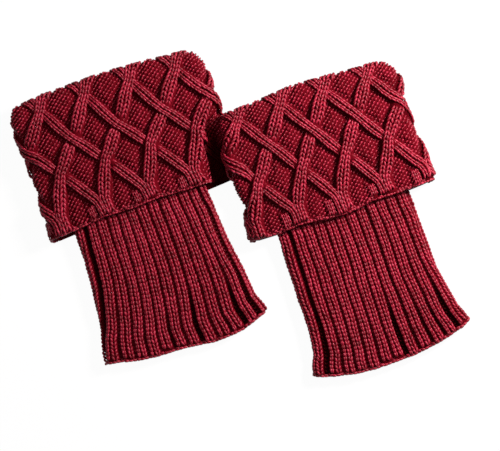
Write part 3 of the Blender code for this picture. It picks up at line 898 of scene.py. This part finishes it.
def ribHalves(cuff, share):
    # how far each rib reaches to its left and to its right
    centres = ribWays(cuff, share)
    low = ramp(tubeAlong(cuff, share), *ribbing["valleyShift"])
    upper, hem = (np.pad(cuff[key], 1, mode="edge") for key in ("upperValley", "hemValley"))
    between = (np.diff(centres) - (upper + low * (hem - upper))) / 2
    outside = ribbing["outside"]
    return centres, np.concatenate([[outside], between]), np.concatenate([between, [outside]])


tubeShell = dict(
    ways=(-58, 62.01, 0.75),
    sideSteps=9,
    hiddenShares=(0, 0.12, 0.24),
    shares=(0.30, 0.99, 0.0125),
    hemRound=0.3,
    insideShares=(1, 0.8, 0.55, 0.44, 0.26, 0.12, 0),
)


def tubeCloth(cuff, material):
    shades, unrolled = [], []

    def ring(share, deep=None):
        along = tubeAlong(cuff, share)
        section = tubeSection(cuff, along)
        ways = allRound(section, np.arange(*tubeShell["ways"]), tubeShell["sideSteps"])
        gape = 0 * ways
        if deep is None:
            z = tubePoints(cuff, share, ways)[:, 2]
            centres, leftHalf, rightHalf = ribHalves(cuff, share)
            aside = ways[:, None] - centres
            across = np.min(abs(aside) / np.where(aside < 0, leftHalf, rightHalf), axis=1)
            number = np.clip(np.searchsorted(centres, ways) - 1, 0, len(centres) - 2)
            wide = np.diff(centres)[number] - rightHalf[number] - leftHalf[number + 1]
            gape = ramp(across, *ribbing["valleyEdge"]) * ramp(wide, *ribbing["valleyGap"])
            valley = ribbing["valley"] * gape * ramp(z, *ribbing["valleyFade"])
            low, high = ribbing["floorFade"]
            deep = -(crown(across, ribbing["shellHalf"], ribbing["ridge"]) + valley)
            deep *= ramp(z, section.base + low, section.base + high) * ramp(along, *ribbing["bandFade"])
        # painted shade in the valleys, the darker the wider they open
        shades.append(gape)
        unrolled.append(np.column_stack([ways, along + 0 * ways]))
        return tubePoints(cuff, share, ways, deep)

    rings = [ring(share, 0.0) for share in tubeShell["hiddenShares"]]
    rings += [ring(share) for share in np.arange(*tubeShell["shares"])]
    rings.append(ring(1.0, tubeShell["hemRound"]))
    rings += [ring(share, make["tubeWall"]) for share in tubeShell["insideShares"]]
    return addCloth("TubeCloth", cuff, material, rings, shades, unrolled)


def ribLoops(cuff, cloth, material, dice):
    # the ribs' stitches, and those in the valleys to their right
    shares = np.arange(*ribbing["shares"])
    down = cloth.downAt(shares)
    centres, lefts, rights = np.array([ribHalves(cuff, share) for share in shares]).transpose(1, 2, 0)
    ribs, valleys = [], []

    def onRib(place, aside):
        return crown(aside, stitch["half"] + ribbing["yarnMargin"], ribbing["ridge"]) + ribbing["loopLift"]

    def inValley(place, aside):
        return valleyStitch["lift"] + 0 * place

    for number, way in enumerate(centres):
        ribs.append(waleLoops(cloth, down, way, onRib, dice, ribStitch, phase=dice.uniform(0, 2.5),
                              halves=(lefts[number], rights[number])))
        if number > make["ribs"]:
            continue
        start, end = way + rights[number], centres[number + 1] - lefts[number + 1]
        # painted shade on the valley stitches, darker where the valley is wider
        least, more = valleyStitch["shade"]
        valleys.append(waleLoops(cloth, down, (start + end) / 2, inValley, dice, valleyStitch,
                                 phase=dice.uniform(0, 2.5),
                                 shade=least + more * ramp(end - start, *valleyStitch["darkGap"])))
    return [joinLoops("TubeRibs", cuff, ribs, material, dice),
            joinLoops("TubeValleys", cuff, valleys, material, dice)]


castOff = dict(
    stitch, wales=(0,), legRadius=0.75, outer=0.8, above=0.8,
    ways=(-61, 61.01, 0.5),
    share=0.99,  # of the tube, where the ribs are followed from
    inset=0.7,
    scallop=0.9,  # how far each rib's end stands out
    scallopHalf=4.2,
    ridge=1.3,
    ridgeHalf=4.6,
    drop=0.3,
)


def castOffLoops(cuff, cloth, material, dice):
    ways = np.arange(*castOff["ways"])
    gap = np.min(abs(ways[:, None] - ribWays(cuff, castOff["share"])), axis=1)
    down = cloth.down[-1] - castOff["inset"] + castOff["scallop"] * crown(gap, castOff["scallopHalf"], 1.0)

    def height(place, aside):
        here = np.interp(place, ways - ways[0], gap)
        return crown(here, castOff["ridgeHalf"], castOff["ridge"]) - castOff["drop"]

    return joinLoops("TubeEdge", cuff, [waleLoops(cloth, down, ways, height, dice, castOff)], material, dice)


# materials

class Signal:
    # a socket that Python operators work on
    def __init__(self, board, socket):
        self.board, self.socket = board, socket

    def __add__(self, other):
        return self.board.maths("ADD", self, other)

    def __sub__(self, other):
        return self.board.maths("SUBTRACT", self, other)

    def __rsub__(self, other):
        return self.board.maths("SUBTRACT", other, self)

    def __mul__(self, other):
        return self.board.maths("MULTIPLY", self, other)

    __radd__ = __add__
    __rmul__ = __mul__


class Board:
    # the node tree of one material
    def __init__(self, name):
        self.material = bpy.data.materials.new(name)
        self.material.use_nodes = True
        self.tree = self.material.node_tree
        self.tree.nodes.clear()

    def node(self, kind, settings=None, output=0, inputs=None):
        made = self.tree.nodes.new(kind)
        for key, value in (settings or {}).items():
            setattr(made, key, value)
        for key, value in (inputs or {}).items():
            if isinstance(value, Signal):
                self.tree.links.new(value.socket, made.inputs[key])
            else:
                made.inputs[key].default_value = value
        return Signal(self, made.outputs[output]) if made.outputs else None

    def maths(self, operation, first, second):
        return self.node("ShaderNodeMath", {"operation": operation}, inputs={0: first, 1: second})

    def mix(self, share, first, second):
        return self.node("ShaderNodeMix", {"data_type": "RGBA"}, output=2,
                         inputs={0: share, 6: first, 7: second})


yarnLook = dict(
    deep=(0.078, 0.0006, 0.003, 1.0),
    body=(0.165, 0.0025, 0.011, 1.0),
    bright=(0.28, 0.013, 0.034, 1.0),
    # the colour that painted shade turns a surface to
    shade=(0.014, 0.0004, 0.0008, 1.0),
    sheen=(1.0, 0.66, 0.72, 1.0),
    roughness=0.48,
    specular=0.32,
    patches=60.0,  # to a metre
    fibres=2600.0,
    toneShare=0.6,  # what decides between deep, body and bright
    patchShare=0.6,
    fibreShare=0.5,
    darker=0.42,
    towardsBody=2.0,
    brightFrom=0.5,
    towardsBright=1.6,
    bump=0.35,
    bumpHeight=0.0003,
    gapShadeAndDepth=0.0,  # how much painted shade and depth plain knitting's gaps get
    gapHeight=2.0,
)
# the cloth under the stitches: a darker, duller copy of the yarn, painted shade where it shows between them
shadedGroundLook = dict(yarnLook, deep=(0.052, 0.0003, 0.0016, 1.0), body=(0.070, 0.0008, 0.0040, 1.0),
                  bright=(0.12, 0.004, 0.010, 1.0), roughness=0.9, specular=0.04, gapShadeAndDepth=0.8)
knitted = dict(wale=0.003, course=0.00285)  # metres


def knitHeight(board):
    # plain knitting on the unrolled cloth: two legs to a wale, leaning together
    place = board.node("ShaderNodeUVMap", {"uv_map": "unrolled"})
    across, along = (board.node("ShaderNodeSeparateXYZ", output=axis, inputs={0: place}) for axis in (0, 1))
    wale = board.maths("FRACT", across * (1 / knitted["wale"]), 0.0)
    fromMiddle = board.maths("ABSOLUTE", wale - 0.5, 0.0)
    course = board.maths("FRACT", along * (1 / knitted["course"]) + fromMiddle, 0.0)
    leg = board.maths("SINE", course * math.pi, 0.0)
    return leg * board.maths("SINE", fromMiddle * 2 * math.pi, 0.0)


def yarnMaterial(name, look):
    board = Board(name)
    place = board.node("ShaderNodeTexCoord", output=3)
    patches, fibres = (
        board.node("ShaderNodeTexNoise", inputs={"Vector": place, "Scale": scale, "Detail": detail})
        for scale, detail in ((look["patches"], 2.0), (look["fibres"], 3.0)))
    tone, paintedShade = (board.node("ShaderNodeAttribute", {"attribute_name": label}, output=2)
                   for label in ("tone", "paintedShade"))
    share = tone * look["toneShare"] + patches * look["patchShare"] + fibres * look["fibreShare"]
    share = share - look["darker"]
    lower = board.mix(share * look["towardsBody"], look["deep"], look["body"])
    colour = board.mix((share - look["brightFrom"]) * look["towardsBright"], lower, look["bright"])
    knit = knitHeight(board)
    # painted shade in the gaps between the knitted legs
    colour = board.mix((1.0 - knit) * look["gapShadeAndDepth"], colour, look["deep"])
    bump = board.node("ShaderNodeBump", inputs={
        "Strength": look["bump"], "Distance": look["bumpHeight"],
        "Height": fibres + knit * look["gapShadeAndDepth"] * look["gapHeight"]})
    shader = board.node("ShaderNodeBsdfPrincipled", inputs={
        "Base Color": colour, "Roughness": look["roughness"], "Specular IOR Level": look["specular"],
        "Normal": bump, "Specular Tint": look["sheen"]})
    # painted shade: each point's shade attribute mixes the lit yarn towards this dark diffuse
    dark = board.node("ShaderNodeBsdfDiffuse", inputs={"Color": look["shade"]})
    shader = board.node("ShaderNodeMixShader", inputs={0: paintedShade, 1: shader, 2: dark})
    board.node("ShaderNodeOutputMaterial", inputs={"Surface": shader})
    return board.material


# build

yarn = yarnMaterial("burgundyYarn", yarnLook)
shadedGround = yarnMaterial("burgundyShadedGround", shadedGroundLook)

for cuff in (leftCuff, rightCuff):
    dice = np.random.default_rng(cuff["seed"])
    side = cuff["name"]
    onBand = clothMap(cuff, bandPoints, mapGrid["band"])
    onTube = clothMap(cuff, tubePoints, mapGrid["tube"])
    band = bandCloth(cuff, shadedGround)
    tube = tubeCloth(cuff, shadedGround)
    onTop = [cableLoops(cuff, onBand, yarn, dice), purlLoops(cuff, onBand, yarn, dice),
             bandEdgeLoops(cuff, onBand, yarn, dice)]
    onRibs = ribLoops(cuff, onTube, yarn, dice) + [castOffLoops(cuff, onTube, yarn, dice)]
    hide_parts(side + "_turndown_band")
    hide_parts(side + "_rib_tube")
    print(side, "cuff knitted")


# floor, light, camera

stage = dict(
    view=(7.1, -8.8),  # what the middle of the photo looks at, in mm
    photoWidth=500,
    pixel=0.70,  # mm to a pixel, at the cloth
    clothHeight=10.0,
    lens=100.0,
    sensor=36.0,
    floorReach=2000.0,
    floorDrop=0.2,
    floorTone=(0.8, 0.8, 0.8, 1.0),
    floorGlow=0.955,  # the share of the floor's light that is its own
    room=0.12,
)
keyLight = dict(place=(0.42, 0.29, 0.36), size=0.14, power=12.1, colour=(1.0, 0.88, 0.90))
fillLight = dict(place=(-0.1, 0.2, 1.1), size=0.8, power=5.0, colour=(1.0, 1.0, 1.0))


def floorMaterial():
    board = Board("paleFloor")
    paper = board.node("ShaderNodeBsdfDiffuse", inputs={"Color": stage["floorTone"]})
    glow = board.node("ShaderNodeEmission", inputs={"Color": (1.0, 1.0, 1.0, 1.0), "Strength": 1.0})
    both = board.node("ShaderNodeMixShader", inputs={0: stage["floorGlow"], 1: paper, 2: glow})
    board.node("ShaderNodeOutputMaterial", inputs={"Surface": both})
    return board.material


def addFloor():
    far = stage["floorReach"] * mm
    mesh = bpy.data.meshes.new("floor")
    mesh.from_pydata([(-far, -far, 0), (far, -far, 0), (far, far, 0), (-far, far, 0)], [], [(0, 1, 2, 3)])
    mesh.materials.append(floorMaterial())
    floor = addObject("floor", mesh)
    floor.location.z = -stage["floorDrop"] * mm


def addLight(name, look):
    data = bpy.data.lights.new(name, "AREA")
    data.size, data.energy, data.color = look["size"], look["power"], look["colour"]
    light = addObject(name, data)
    light.location = look["place"]
    aim = light.constraints.new("TRACK_TO")
    aim.target = frame["bodies"]["root"]
    aim.track_axis, aim.up_axis = "TRACK_NEGATIVE_Z", "UP_Y"


def addCamera():
    data = bpy.data.cameras.new("photoCamera")
    data.lens, data.sensor_width = stage["lens"], stage["sensor"]
    wide = stage["photoWidth"] * stage["pixel"]
    x, y = stage["view"]
    camera = addObject("photoCamera", data)
    camera.location = (x * mm, y * mm, (wide * data.lens / data.sensor_width + stage["clothHeight"]) * mm)
    bpy.context.scene.camera = camera


addFloor()
addLight("key", keyLight)
addLight("fill", fillLight)
addCamera()
world = bpy.data.worlds.new("softRoom")
world.use_nodes = True
background = world.node_tree.nodes["Background"]
background.inputs["Color"].default_value = (1, 1, 1, 1)
background.inputs["Strength"].default_value = stage["room"]
bpy.context.scene.world = world
bpy.context.scene.view_settings.view_transform = "Standard"
print("floor, lights and camera set")
